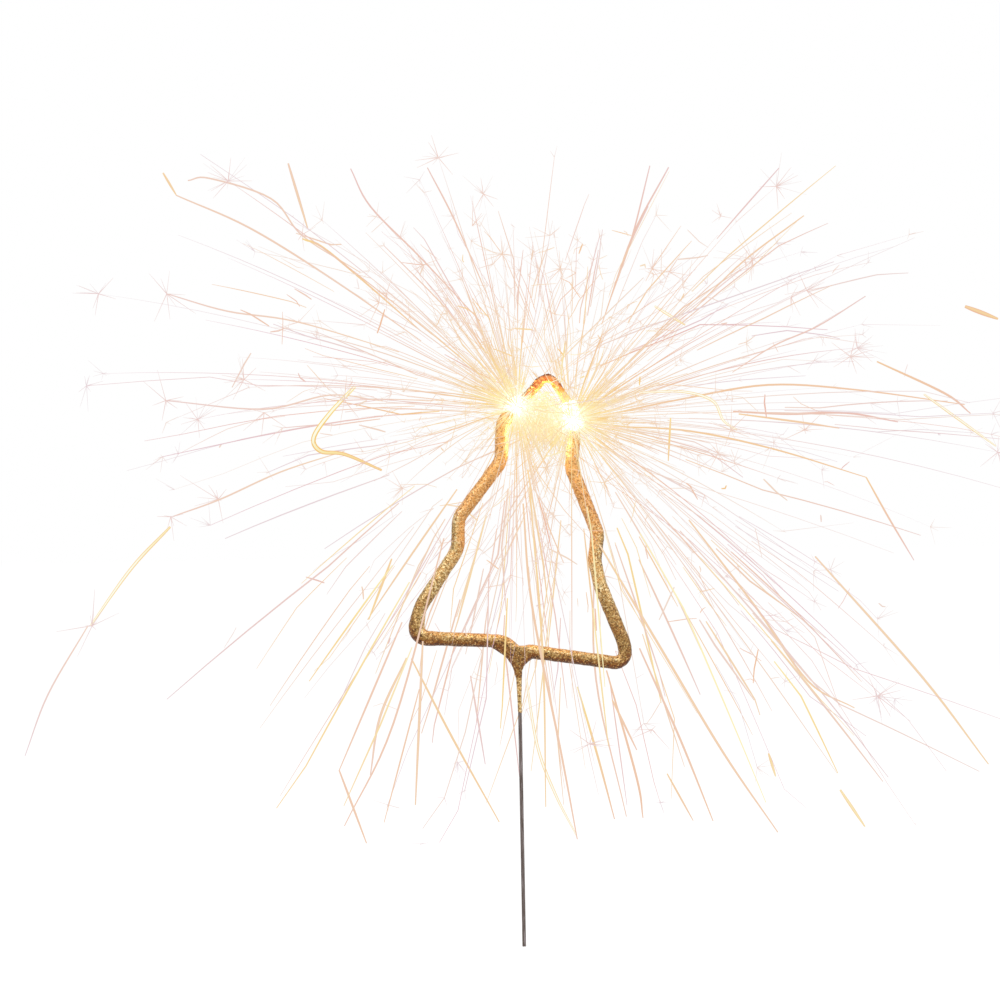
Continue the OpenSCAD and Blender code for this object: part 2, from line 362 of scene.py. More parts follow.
def grain_height(p):
    """Lumps and grains of the crust, less of them on the thin film"""
    grains = GRAIN_H * (0.5 - noise.voronoi(p / GRAIN_SIZE)[0][0])
    share = 1 if p.z > FILM_TOP else FILM_GRAIN_SHARE
    return share * (lumpy(p, LUMPS) + grains)


def gold_crust():
    bm = bmesh.new()
    left = way(CORNERS[0], 0, SHOULDER, LEFT_FRONT - heading(SHOULDER) * HALF_BURN)
    right = way(RIGHT_FRONT + heading(RIGHT_SHOULDER) * HALF_BURN, RIGHT_SHOULDER, TAIL, CORNERS[-1])
    tail_end = len(right) - round(TAIL_L / STEP)
    tube(bm, left, [crust_radius(p) for p in left])
    tube(bm, right[:tail_end], [crust_radius(p) for p in right[:tail_end]])
    loft(bm, WEB)
    crust = remeshed(bm, "gold_crust", CRUST_VOXEL, CRUST_SMOOTHING)
    roughen(crust, grain_height)
    # The fronts' light on the crust, which its material paints in as painted light and shade
    paint(crust, "fire", crust_fire)
    settle(crust, crust_material(), "gold_crust", "neck_crust", "left_base_crust",
           "right_base_crust", "left_arm_crust", "right_arm_crust")


# Slag

def slag_height(p):
    return lumpy(p, SLAG_LUMPS)


def burnt_slag():
    """The burnt tip. It is painted with how near the right front is and how far it faces outward."""
    bm = bmesh.new()
    points = way(LEFT_FRONT, SHOULDER, RIGHT_SHOULDER, RIGHT_FRONT)
    middle = FRONTS[0].lerp(FRONTS[1], 0.5)
    tube(bm, points, [SLAG_R + SLAG_SWELL * noise.noise(p / SLAG_SWELL_SIZE + UP) for p in points])
    slag = remeshed(bm, "burnt_slag", SLAG_VOXEL, SLAG_SMOOTHING)
    roughen(slag, slag_height)
    paint(slag, "fire", lambda p, n: min(1, SLAG_GLOW_L / (p - FRONTS[1]).length))
    paint(slag, "outer", lambda p, n: max(0, n.dot((p - middle).normalized())))
    settle(slag, slag_material(), "slag", "tip_slag")


# Burning fronts

def ember(name, balls, node):
    """A white-hot bead: overlapping balls with a flickering, spiky face"""
    bm = bmesh.new()
    for centre, size in balls:
        place = Matrix.Translation(in_space(centre)) @ Matrix.Diagonal((*size, 1))
        bmesh.ops.create_icosphere(bm, subdivisions=4, radius=1, matrix=place)
    bead = remeshed(bm, name, BEAD_VOXEL, BEAD_SMOOTHING)
    roughen(bead, ember_height)
    bead.visible_shadow = False
    settle(bead, ember_material(), "burning", node)


def ember_height(p):
    spike = max(0, noise.noise(p / SPIKE_SIZE)) ** 2
    return lumpy(p, BEAD_LUMPS) + SPIKE_H * spike


# Sparks

# The flights of the part's own rays, by the part's own rule
SPARK_COUNT = 460
GOLDEN_TURN = math.pi * (3 - math.sqrt(5))
LUCK_SHARE = math.sqrt(6)
LONG_EVERY = 2
STEEP_SHARE = 0.45
LEAN_SHARE = -0.2
DOWN_SHARE = 0.2
DEPTH_SHARE = 0.45
SHORTEST_SHARE = 0.3
BOXY = 4
SIDE_REACH, DEPTH_REACH, RISE_REACH, FALL_REACH = 146, 104, 76, 124
SHORT_L = 30
DROOP_L = 1100
KINK_EVERY = 6
KINK_L_SHARE = 0.2
KINK_TURN_SHARE = 0.7
BURST_EVERY = 10
BURST_RAYS = 6
BURST_L = 7
SPARK_R = 0.2
TIP_R = 0.12
CLEAR_ANGLE = math.radians(52)
FLARE_ANGLE = math.radians(44.4)

# How a spark cools on its way, from where on, and how little its depth counts for that
COOLING_L = 38
HOT_R = 2.5
DEPTH_WEIGHT = 0.35

# A power that makes more of the fine and the own sparks pale
PALENESS = 1.2

# Rays where sparks burst: their lengths and radii against the most, a power that makes more of them
# short, how much they keep the spark's way, and how thin they end
RAY_L_SHARES = (0.25, 1)
RAY_R_SHARES = (0.6, 1)
RAY_SHORTENING = 1.6
AHEAD_SHARE = 0.6
NEEDLE_TIP_SHARE = 0.3

# Where the own rays begin, and the angle to the wire that the other trails leave free
FRONT_R = 3.1
NEAR_ANGLE = math.radians(28)


def flight(k):
    """Evenly spread directions, one for each spark"""
    z = 1 - (2 * k + 1) / SPARK_COUNT
    a = k * GOLDEN_TURN
    r = math.sqrt(1 - z * z)
    return Vector((r * math.cos(a), r * math.sin(a), z))


def other_flight(k, steps):
    return flight((k + SPARK_COUNT * steps // BURST_RAYS) % SPARK_COUNT)


def reach(d):
    """How far the burst reaches that way"""
    reaches = (SIDE_REACH, DEPTH_REACH, RISE_REACH if d.z > 0 else FALL_REACH)
    return sum((abs(c) / far) ** BOXY for c, far in zip(d, reaches)) ** (-1 / BOXY)


def on_flight(d, far):
    """A place far along a flight that droops as it goes"""
    return d * far - UP * (math.hypot(d.x, d.y) * far ** 2 / DROOP_L)


def farthest(d):
    return reach(on_flight(d, reach(d)).normalized())


def is_long(k):
    return k % LONG_EVERY == 0 or flight(k).z < -STEEP_SHARE


def spark_length(k):
    longest = farthest(flight(k)) if is_long(k) else SHORT_L
    return longest * (SHORTEST_SHARE + (1 - SHORTEST_SHARE) * (k * LUCK_SHARE % 1))


def clears_tree(d):
    return d.z > -DOWN_SHARE or abs(d.y) > DEPTH_SHARE


def flights_of(side, crust_way):
    """The part's own sparks of one front: on its own side, clear of the crust and of the flare or slag"""
    for k in range(SPARK_COUNT):
        d = flight(k)
        clear = d.angle(crust_way) > CLEAR_ANGLE and d.angle(-crust_way) > FLARE_ANGLE
        if side * d.x > LEAN_SHARE and clears_tree(d) and clear:
            yield k, d


def near_wire(d, crust_way):
    """Whether a direction is close to the wire's, to the crust or away from it"""
    return d.angle(crust_way) < NEAR_ANGLE or d.angle(-crust_way) < NEAR_ANGLE


def inside(p):
    """The nearest place that the burst reaches"""
    return Vector([min(max(c, low), high) for c, low, high in zip(p, BURST_LOW, BURST_HIGH)])


def swelling(count, r, head=0.45, start=0.15, end=0.95):
    """Radii of a trail that is thickest past its middle. Start and end are shares of half a wave."""
    places = [math.pi * share for share in graded(start, end, count)]
    return [r * (head + (1 - head) * math.sin(place)) for place in places]


class Trails:
    """Light trails of one front as thin tapered tubes. Each point keeps its warmth and how strong
    its colour is, from 0 to 1."""

    def __init__(self, front, seed):
        self.front = front
        self.luck = random.Random(seed)
        self.verts, self.faces, self.warmths, self.strengths = [], [], [], []

    def tube(self, points, radii, warmths, strength=0.0, sides=3):
        side = (points[1] - points[0]).orthogonal()
        for i, (p, r, warmth) in enumerate(zip(points, radii, warmths)):
            along = along_at(points, i)
            side = (side - along * side.dot(along)).normalized()
            across = along.cross(side)
            first = len(self.verts)
            self.verts += [inside(p) + (side * math.cos(a) + across * math.sin(a)) * r
                           for a in turns_of(sides)]
            self.warmths += [warmth] * sides
            self.strengths += [strength] * sides
            if i:
                self.faces += [(first - sides + k, first - sides + (k + 1) % sides,
                                first + (k + 1) % sides, first + k) for k in range(sides)]
        end = len(self.verts)
        start = end - len(points) * sides
        self.faces.append(tuple(reversed(range(start, start + sides))))
        self.faces.append(tuple(range(end - sides, end)))

    def warmth(self, p, extra=0.0):
        """A spark's warmth by its way from its front"""
        way_from = p - self.front
        way_from.y *= DEPTH_WEIGHT
        far = max(0, way_from.length - HOT_R)
        return max(0, min(1, math.exp(-far / COOLING_L) + extra))

    def streak(self, points, r, extra=0.0, strength=0.0):
        """A trail that cools as it flies"""
        warmths = [self.warmth(p, extra) for p in points]
        self.tube(points, swelling(len(points), r), warmths, strength)

    def needle(self, start, end, r, extra=0.0, strength=0.0):
        warmths = [self.warmth(start, extra), self.warmth(end, extra)]
        self.tube([start, end], [r, r * NEEDLE_TIP_SHARE], warmths, strength)

    def star(self, at, rays, longest, r, extra, ahead=None, strength=0.0):
        """Thin rays where a spark bursts, more of them ahead of it"""
        for _ in range(rays):
            d = self.direction()
            if ahead is not None:
                d = (d + ahead * AHEAD_SHARE).normalized()
            far = at + d * longest * self.luck.uniform(*RAY_L_SHARES) ** RAY_SHORTENING
            self.needle(at, far, r * self.luck.uniform(*RAY_R_SHARES), extra, strength)

    def flown(self, d, begin, end, steps=6):
        """A flight from the front, as it is from begin to end"""
        return [self.front + on_flight(d, far) for far in graded(begin, end, steps + 1)]

    def kinked(self, line, most):
        """The same line, turned a little at one place on its way"""
        last = len(line) - 1
        at = self.luck.randrange(1, last)
        aside = self.direction() * (line[-1] - line[at]).length * self.luck.uniform(0, most)
        return [p + aside * (max(0, i - at) / (last - at)) for i, p in enumerate(line)]

    def direction(self, flat=1.0):
        """Any direction, or one that keeps near the tree's plane where flat is less than 1"""
        s = self.luck.uniform(-1, 1) * flat
        a = self.luck.uniform(0, math.tau)
        c = math.sqrt(1 - s * s)
        return Vector((c * math.cos(a), s, c * math.sin(a)))

    def finished(self, name, node):
        mesh = bpy.data.meshes.new(name)
        mesh.from_pydata(self.verts, [], self.faces)
        for kind, values in (("warmth", self.warmths), ("strength", self.strengths)):
            mesh.attributes.new(kind, "FLOAT", "POINT").data.foreach_set("value", values)
        thing = new_object(name, mesh)
        thing.visible_shadow = False
        settle(thing, SPARK_MATERIAL, "sparks", node)


# Pale streaks. ACROSS is how far they lie on the way to the other front, where they take a tinge.
HALO_COUNT = 700
HALO_SPREAD = 2.4
HALO_ACROSS = (0, 0.55)
HALO_LEAN = (0, 0.5)
HALO_L = (2, 5)
GLARE_R = (0.12, 0.22)
GLARE_TAPER = 0.5
HALO_WARMTHS = ((0.985, 1), (0.89, 0.97))
TINGE_RISE = 5
TINGE_COOLING = (0.07, 0.04)
TINGE_STRENGTH = 0.6


def halo(trails, toward):
    """Pale streaks of the glare round a front and between the two, less white on the way across"""
    luck = trails.luck
    for _ in range(HALO_COUNT):
        d = (trails.direction() + toward.normalized() * luck.uniform(*HALO_LEAN)).normalized()
        across = luck.uniform(*HALO_ACROSS) * luck.random()
        start = trails.front + toward * across + trails.direction() * HALO_SPREAD
        end = start + d * luck.uniform(*HALO_L)
        r = luck.uniform(*GLARE_R)
        tinge = min(1, across * TINGE_RISE)
        warmths = [luck.uniform(low - cooling * tinge, high)
                   for (low, high), cooling in zip(HALO_WARMTHS, TINGE_COOLING)]
        strength = luck.random() * TINGE_STRENGTH * tinge
        trails.tube([start, end], [r, r * GLARE_TAPER], warmths, strength)


# Lemon streaks. They lie highest half way between the fronts.
HEARTH_COUNT = 170
HEARTH_ACROSS = (0.12, 0.55)
HEARTH_RISE = 14
HEARTH_L = (1, 3)
HEARTH_WARMTH = (0.86, 0.98)
HEARTH_STRENGTH = (0.2, 1)


def hearth(trails, toward):
    """Lemon streaks that fill the space under the peak"""
    luck = trails.luck
    for _ in range(HEARTH_COUNT):
        across = luck.uniform(*HEARTH_ACROSS)
        lift = UP * luck.random() * min(across, 1 - across) * HEARTH_RISE
        start = trails.front + toward * across + lift + trails.direction()
        end = start + trails.direction() * luck.uniform(*HEARTH_L)
        r = luck.uniform(*GLARE_R)
        warm = luck.uniform(*HEARTH_WARMTH)
        trails.tube([start, end], [r, r * GLARE_TAPER], [warm, warm], luck.uniform(*HEARTH_STRENGTH))


# Falling streaks, which cool as they go
BEARD_COUNT = 260
BEARD_ACROSS = (0.1, 0.6)
BEARD_SPREAD = 3
BEARD_LEAN = 0.6
BEARD_L = (3, 13)
BEARD_R = (0.08, 0.16)
BEARD_TAPER = 0.4
BEARD_WARMTH = (0.84, 0.97)
BEARD_COOLING = (0.03, 0.2)
BEARD_STRENGTH = 0.4


def beard(trails, toward):
    """Streaks that fall from the glare between the fronts"""
    luck = trails.luck
    for _ in range(BEARD_COUNT):
        start = trails.front + toward * luck.uniform(*BEARD_ACROSS) + trails.direction() * BEARD_SPREAD
        d = (trails.direction() * BEARD_LEAN - UP).normalized()
        end = start + d * luck.uniform(*BEARD_L)
        warm = luck.uniform(*BEARD_WARMTH)
        r = luck.uniform(*BEARD_R)
        warmths = [warm, warm - luck.uniform(*BEARD_COOLING)]
        trails.tube([start, end], [r, r * BEARD_TAPER], warmths, luck.random() * BEARD_STRENGTH)


# The coat of golden streaks: where they start and end, and how they fray
MAT_COUNT = 460
MAT_START = (2.5, 5)
MAT_END = 6
MAT_MORE = 7
MAT_FRAY = 0.8
MAT_R = (0.08, 0.15)
MAT_TAPER = 0.35
MAT_EXTRA = 0.02


def mat(trails, crust_way):
    """The thick coat of golden streaks round a front"""
    luck = trails.luck
    for _ in range(MAT_COUNT):
        d = trails.direction()
        if near_wire(d, crust_way):
            continue
        start = trails.front + d * luck.uniform(*MAT_START)
        end = trails.front + d * (MAT_END + MAT_MORE * luck.random() ** 2) + trails.direction() * MAT_FRAY
        r = luck.uniform(*MAT_R)
        warmths = [trails.warmth(start, MAT_EXTRA), trails.warmth(end)]
        trails.tube([start, end], [r, r * MAT_TAPER], warmths, luck.random())


# Fine sparks: their shortest flight and what they may fly more, how they bend and fork
FINE_L = 9
FINE_MORE = 30
FINE_SHORTENING = 1.3
FINE_BEGIN_SHARES = (0.25, 0.8)
FINE_MIDDLE_SHARES = (0.3, 0.7)
FINE_END_SHARE = 0.5
FINE_BEND = 0.12
FINE_R = (0.06, 0.12)
FINE_EXTRA = (-0.25, 0.05)
FORK_CHANCE = 0.45
FORK_RAYS = (2, 5)
FORK_L = 5
FORK_EXTRA = (-0.3, 0)


def fine_sparks(trails, crust_way, drift, count):
    """Fine sparks that die near their front, some bent, some forked at the end"""
    luck = trails.luck
    for _ in range(count):
        d = (trails.direction() + drift).normalized()
        if near_wire(d, crust_way):
            continue
        length = FINE_L + FINE_MORE * luck.random() ** FINE_SHORTENING
        begin = luck.uniform(*FINE_BEGIN_SHARES) * length
        bent = (d + trails.direction() * FINE_BEND).normalized()
        start = trails.front + d * begin
        middle = start + d * (length - begin) * luck.uniform(*FINE_MIDDLE_SHARES)
        end = middle + bent * (length - begin) * FINE_END_SHARE
        r = luck.uniform(*FINE_R)
        trails.streak([start, middle, end], r, luck.uniform(*FINE_EXTRA), luck.random() ** PALENESS)
        if luck.random() < FORK_CHANCE:
            trails.star(end, luck.randint(*FORK_RAYS), FORK_L, r, luck.uniform(*FORK_EXTRA), d)


# The own rays' looks: their thickness against the part's, and the drawn rays at their ends
LONG_GIRTHS = (0.3, 0.4, 0.5, 0.65, 0.9)
SHORT_GIRTHS = (0.3, 0.65)
LONG_STEPS = 12
SHORT_STEPS = 4
OWN_EXTRA = (-0.2, 0.08)
KINK_RAYS = (2, 4)
KINK_RAY_L = 5
KINK_RAY_R = 0.1
BURST_STAR_RAYS = (5, 10)
BURST_STAR_L = 12
END_CHANCE = 0.5
END_RAYS = (3, 8)
END_RAY_L = 7
END_EXTRA = (-0.1, 0.15)


def own_sparks(near, far, side, crust_way):
    """Dresses the part's own rays: the short in near, the long in far"""
    for k, d in flights_of(side, crust_way):
        if is_long(k):
            own_spark(far, k, d, LONG_STEPS, far.luck.choice(LONG_GIRTHS))
        else:
            own_spark(near, k, d, SHORT_STEPS, near.luck.uniform(*SHORT_GIRTHS))


def own_spark(trails, k, d, steps, girth):
    """One ray of the part, with its kink and the burst at its end"""
    luck = trails.luck
    length = spark_length(k)
    run = length * (1 - KINK_L_SHARE) if k % KINK_EVERY == 0 else length
    line = trails.flown(d, FRONT_R, run, steps)
    radii = swelling(steps + 1, girth * SPARK_R, head=0.1, start=0.03)
    extra = luck.uniform(*OWN_EXTRA)
    strength = luck.random() ** PALENESS
    trails.tube(line, radii, [trails.warmth(p, extra) for p in line], strength)
    tip = line[-1]
    if k % KINK_EVERY == 0:
        aside = (d + KINK_TURN_SHARE * other_flight(k, BURST_RAYS // 2)).normalized()
        trails.star(tip, luck.randint(*KINK_RAYS), KINK_RAY_L, KINK_RAY_R, 0, aside)
        trails.needle(tip, tip + aside * (length - run), girth * TIP_R, extra, strength)
        tip += aside * (length - run)
    if k % BURST_EVERY == 0:
        for j in range(BURST_RAYS):
            trails.needle(tip, tip + other_flight(k, j) * BURST_L, TIP_R, extra=0.05, strength=0.5)
        trails.star(tip, luck.randint(*BURST_STAR_RAYS), BURST_STAR_L, TIP_R, 0, d)
    elif luck.random() < END_CHANCE:
        trails.star(tip, luck.randint(*END_RAYS), END_RAY_L, TIP_R, luck.uniform(*END_EXTRA), d)


# Bunches of faint trails: how many, and how flat they keep to the tree's plane
BUNCHES = ((24, 1), (26, 0.45))
BUNCH_MOST = 5
BUNCH_SHORTEST = 0.3
BUNCH_SHORTENING = 1.5
BUNCH_UNEVENNESS = (0.8, 1.2)
BUNCH_SPREAD = 0.09
BUNCH_BEGIN_SHARES = (0.2, 0.75)
BUNCH_KINKS = (0.3, 0.5)
BUNCH_RADII = (0.08, 0.09, 0.11, 0.14, 0.22)
BUNCH_EXTRA = (-0.2, 0.15)
BUNCH_PALENESS = 1.6
BUNCH_END_CHANCE = 0.4
BUNCH_END_RAYS = (3, 9)
BUNCH_END_L = 8
BUNCH_END_EXTRA = (-0.1, 0.1)
BUNCH_SIDE_CHANCE = 0.5
BUNCH_SIDE_RAYS = (1, 4)
BUNCH_SIDE_L = 6
BEHIND_SHARE = 0.8


def bunches(trails, crust_way, count, flat):
    """Long faint trails that fly almost side by side, each seen for a part of its flight"""
    luck = trails.luck
    for _ in range(count):
        middle = trails.direction(flat)
        if middle.angle(crust_way) < NEAR_ANGLE:
            continue
        if middle.z < -DOWN_SHARE and luck.random() < BEHIND_SHARE:
            middle.y = abs(middle.y)
        share = BUNCH_SHORTEST + (1 - BUNCH_SHORTEST) * luck.random() ** BUNCH_SHORTENING
        for _ in range(luck.randint(1, BUNCH_MOST)):
            d = (middle + trails.direction() * BUNCH_SPREAD).normalized()
            length = farthest(d) * min(1, share * luck.uniform(*BUNCH_UNEVENNESS))
            line = trails.flown(d, length * luck.uniform(*BUNCH_BEGIN_SHARES), length)
            for most in BUNCH_KINKS:
                line = trails.kinked(line, most)
            trails.streak(line, luck.choice(BUNCH_RADII), luck.uniform(*BUNCH_EXTRA),
                          luck.random() ** BUNCH_PALENESS)
            if luck.random() < BUNCH_END_CHANCE:
                trails.star(line[-1], luck.randint(*BUNCH_END_RAYS), BUNCH_END_L, TIP_R,
                            luck.uniform(*BUNCH_END_EXTRA), d)
            if luck.random() < BUNCH_SIDE_CHANCE:
                trails.star(luck.choice(line), luck.randint(*BUNCH_SIDE_RAYS), BUNCH_SIDE_L, TIP_R,
                            0, d, luck.random() / 2)


# Lone trails that fall and rise: the fan they keep in, in degrees from straight up, how many, their
# radii, and how warm those behind can be. Those in front are warmer.
PLUMES = (
    ((125, 195), 40, (0.14, 0.18, 0.24, 0.3, 0.36), 0.75),
    ((-20, 62), 16, (0.1, 0.13, 0.16, 0.22), 0.45),
)
PLUME_DEPTHS = (0.25, 0.6)
PLUME_L_SHARES = (0.45, 1)
PLUME_BEGIN_SHARES = (0.3, 0.75)
PLUME_KINK = 0.35
PLUME_COOLEST = 0.12
PLUME_NEAR_EXTRA = 0.2
PLUME_COOLING = (-0.25, 0.1)
PLUME_STRENGTH = (0.1, 0.65)


def plume(trails, side, fan, count, girths, warmest):
    """Lone trails that rise or fall within a fan, which leans out to the front's own side"""
    luck = trails.luck
    for _ in range(count):
        a = math.radians(luck.uniform(*fan))
        depth = luck.uniform(*PLUME_DEPTHS) * (1 if luck.random() < BEHIND_SHARE else -1)
        d = Vector((side * math.sin(a), depth, math.cos(a))).normalized()
        length = farthest(d) * luck.uniform(*PLUME_L_SHARES)
        line = trails.flown(d, length * luck.uniform(*PLUME_BEGIN_SHARES), length)
        line = trails.kinked(line, PLUME_KINK)
        low, high = (PLUME_COOLEST, warmest) if depth > 0 else (warmest, warmest + PLUME_NEAR_EXTRA)
        warm = luck.uniform(low, high)
        cool = max(0, warm + luck.uniform(*PLUME_COOLING))
        radii = swelling(len(line), luck.choice(girths), head=0.3)
        trails.tube(line, radii, graded(warm, cool, len(line)), luck.uniform(*PLUME_STRENGTH))


# Short trails across the others
STRAY_COUNT = 70
STRAY_FLATNESS = 0.6
STRAY_L = (2, 12)
STRAY_RADII = (0.1, 0.12, 0.16, 0.28)
STRAY_PLACES = (0.12, 0.75)
STRAY_LEAN = 0.5
STRAY_KINK = 0.8
STRAY_EXTRA = (0, 0.35)
STRAY_PALENESS = 1.5
STRAY_STEPS = 3


def strays(trails):
    """Short trails that lie across the others, where sparks burst on their way"""
    luck = trails.luck
    for _ in range(STRAY_COUNT):
        middle = trails.direction(STRAY_FLATNESS)
        start = trails.front + middle * reach(middle) * luck.uniform(*STRAY_PLACES)
        d = (trails.direction() + middle * STRAY_LEAN).normalized()
        length = luck.uniform(*STRAY_L)
        line = [start + d * length * t / STRAY_STEPS for t in range(STRAY_STEPS + 1)]
        line = trails.kinked(line, STRAY_KINK)
        trails.streak(line, luck.choice(STRAY_RADII), luck.uniform(*STRAY_EXTRA),
                      luck.random() ** STRAY_PALENESS)


# Trails that stand out: radius, warmth at either end, strength of colour, depth at either end, and
# then their points across and up
STANDOUT = (
    (0.75, (0.85, 0.45), 1, (-12, 4),
     (-48, 171), (-56, 163), (-61, 156), (-59, 152), (-52, 151), (-41, 146)),
    (0.36, (0.6, 0.6), 0.4, (10, 10), (-107, 239), (-103, 232)),
    (0.3, (0.35, 0.35), 0.35, (10, -2), (-103, 232), (-80, 221), (-54, 204), (-28, 185)),
    (0.28, (0.25, 0.4), 0.3, (-20, -4), (-96, 233), (-90, 234), (-72, 228), (-63, 217), (-46, 206)),
    (0.4, (0.2, 0.35), 0.5, (-8, 0), (-67, 239), (-62, 220)),
    (0.24, (0.15, 0.5), 0.3, (14, 2), (-107, 202), (-88, 196), (-66, 192), (-35, 182)),
    (0.24, (0.1, 0.45), 0.3, (-10, 0), (-105, 168), (-76, 165), (-56, 169), (-40, 167)),
    (0.26, (0.2, 0.5), 0.3, (12, 0), (-106, 133), (-91, 138), (-72, 146), (-52, 152)),
    (0.5, (0.6, 0.8), 0.7, (-22, -16), (-103, 130), (-115, 118), (-128, 101)),
    (0.24, (0.3, 0), 0.3, (-22, -24), (-128, 101), (-140, 81), (-147, 63)),
    (0.7, (0.35, 0.4), 0.9, (6, 6), (139, 193), (149, 189)),
    (0.35, (0.5, 0.2), 0.6, (-6, 0), (110, 176), (131, 166), (139, 160)),
    (0.4, (0.7, 0.75), 0.6, (0, 8), (125, 166), (148, 150)),
    (0.3, (0.5, 0.4), 0.6, (0, 10), (30, 162), (51, 166), (78, 170), (106, 168), (139, 163)),
    (0.28, (0.6, 0.5), 0.6, (-2, -14), (30, 158), (53, 156), (78, 150), (105, 141)),
    (0.28, (0.6, 0.1), 0.6, (-14, -20), (105, 141), (111, 129), (118, 116)),
    (0.38, (0.4, 0.25), 0.5, (-6, -30), (25, 122), (43, 90), (60, 60), (75, 37)),
    (0.35, (0.5, 0.5), 0.35, (6, 24), (53, 129), (74, 101), (90, 78), (105, 69)),
    (0.38, (0.3, 0.45), 0.35, (10, 20), (92, 117), (125, 79), (146, 51)),
    (0.45, (0.6, 0.6), 0.5, (-10, -12), (96, 47), (103, 36)),
    (0.3, (0.3, 0.35), 0.5, (-12, -24), (-35, 100), (-54, 57)),
    (0.34, (0.35, 0.4), 0.5, (-24, -30), (-54, 57), (-46, 36)),
    (0.38, (0.4, 0.1), 0.5, (-8, -20), (-34, 89), (-42, 72), (-45, 55)),
    (0.24, (0.4, 0.4), 0.5, (14, 22), (-31, 78), (-43, 36)),
    (0.28, (0.2, 0.05), 0.4, (12, 18), (-15, 82), (-11, 54)),
    (0.36, (0.6, 0.7), 0.5, (-6, -12), (-38, 119), (-45, 101)),
    (0.35, (0.6, 0.6), 0.4, (6, 18), (-33, 88), (-21, 63), (-7, 36)),
    (0.4, (0.3, 0.3), 0.5, (-8, -12), (-29, 94), (-32, 45)),
    (0.35, (0.3, 0.4), 0.5, (4, 10), (37, 90), (49, 62), (59, 36)),
    (0.35, (0.5, 0.3), 0.5, (-16, -30), (2, 135), (4, 105), (12, 60), (16, 36)),
    (0.3, (0.7, 0.6), 0.4, (-14, -24), (4, 140), (7, 90), (7, 45)),
    (0.3, (0.3, 0.3), 0.4, (14, 26), (24, 120), (24, 80), (33, 36)),
    (0.3, (0.35, 0.3), 0.5, (-10, -20), (-22, 125), (-38, 70), (-53, 40)),
    (0.42, (0.75, 0.85), 0.5, (-4, -9), (38, 168), (51, 168), (60, 165), (63, 159), (67, 156)),
    (0.4, (0.8, 0.6), 0.6, (-6, -8), (43, 194), (52, 188)),
    (0.3, (0.8, 0.6), 0.6, (-9, -10), (47, 160), (46, 147)),
    (0.36, (0.3, 0.15), 0.7, (4, 8), (67, 162), (84, 161), (102, 161), (118, 158)),
    (0.3, (0.6, 0.4), 0.5, (-4, -8), (68, 161), (87, 158), (98, 156)),
    (0.45, (0.7, 0.75), 0.4, (-8, -20), (2, 82), (5, 62), (10, 48), (16, 36)),
    (0.36, (0.85, 0.35), 0.5, (12, 20), (18, 78), (24, 56), (29, 36)),
    (0.36, (0.4, 0.35), 0.6, (10, 22), (27, 83), (36, 49), (38, 36)),
    (0.34, (0.5, 0.3), 0.5, (-6, -9), (28, 75), (35, 60)),
    (0.3, (0.6, 0.4), 0.4, (8, 12), (45, 51), (53, 36)),
    (0.4, (0.5, 0.6), 0.5, (-6, -6), (75, 58), (77, 51)),
    (0.24, (0.1, 0.2), 0.4, (20, 10), (43, 227), (37, 215), (31, 200)),
    (0.24, (0.5, 0.4), 0.5, (-12, -4), (88, 220), (70, 207), (54, 192)),
    (0.22, (0.1, 0.3), 0.5, (10, 4), (109, 197), (94, 188), (80, 182), (67, 174)),
    (0.34, (0.75, 0.5), 0.6, (-10, -2), (-63, 216), (-55, 212), (-28, 188)),
    (0.26, (0.1, 0.3), 0.6, (8, 2), (-49, 239), (-43, 227), (-28, 211), (-10, 191)),
    (0.24, (0.15, 0.4), 0.5, (-8, -2), (-25, 237), (-17, 221), (-7, 197)),
    (0.24, (0.1, 0.35), 0.6, (6, 2), (43, 238), (37, 216), (30, 197)),
    (0.28, (0.1, 0.4), 0.6, (-6, -2), (48, 236), (37, 216), (27, 189)),
    (0.22, (0.05, 0.15), 0.6, (10, 4), (83, 237), (72, 225), (63, 215)),
)
# Far bursts of fine rays: across and up, depth, rays, the longest one
STARS = (
    ((-107, 202), 14, 9, 14), ((-92, 138), 12, 10, 15), ((-127, 101), -20, 12, 14),
    ((-105, 168), -10, 9, 12),
    ((-76, 164), -4, 8, 11), ((-66, 192), 8, 9, 9), ((-63, 217), -12, 7, 9), ((-103, 133), -20, 10, 10),
    ((-12, 223), 30, 7, 10), ((41, 64), 16, 9, 9), ((89, 156), 6, 10, 10), ((66, 224), 24, 7, 10),
    ((86, 197), 10, 7, 8), ((70, 206), -14, 7, 9), ((44, 205), 12, 8, 9),
)
STAR_R = 0.15
STAR_EXTRA = 0.05
STAR_STRENGTH = 0.35
# The pale core of a thick trail, against the trail
CORE_SHARE = 0.6
CORE_WARMTH = 0.28
THICK_R = 0.36
STANDOUT_SIDES = 8


def curve_through(points, steps=7):
    """A smooth line through points"""
    ends = [points[0] * 2 - points[1], *points, points[-1] * 2 - points[-2]]
    line = []
    for a, b, c, d in zip(ends, ends[1:], ends[2:], ends[3:]):
        for k in range(steps):
            t = k / steps
            line.append((b * 2 + (c - a) * t + (a * 2 - b * 5 + c * 4 - d) * t ** 2
                         + (b * 3 - a - c * 3 + d) * t ** 3) / 2)
    return [*line, points[-1]]


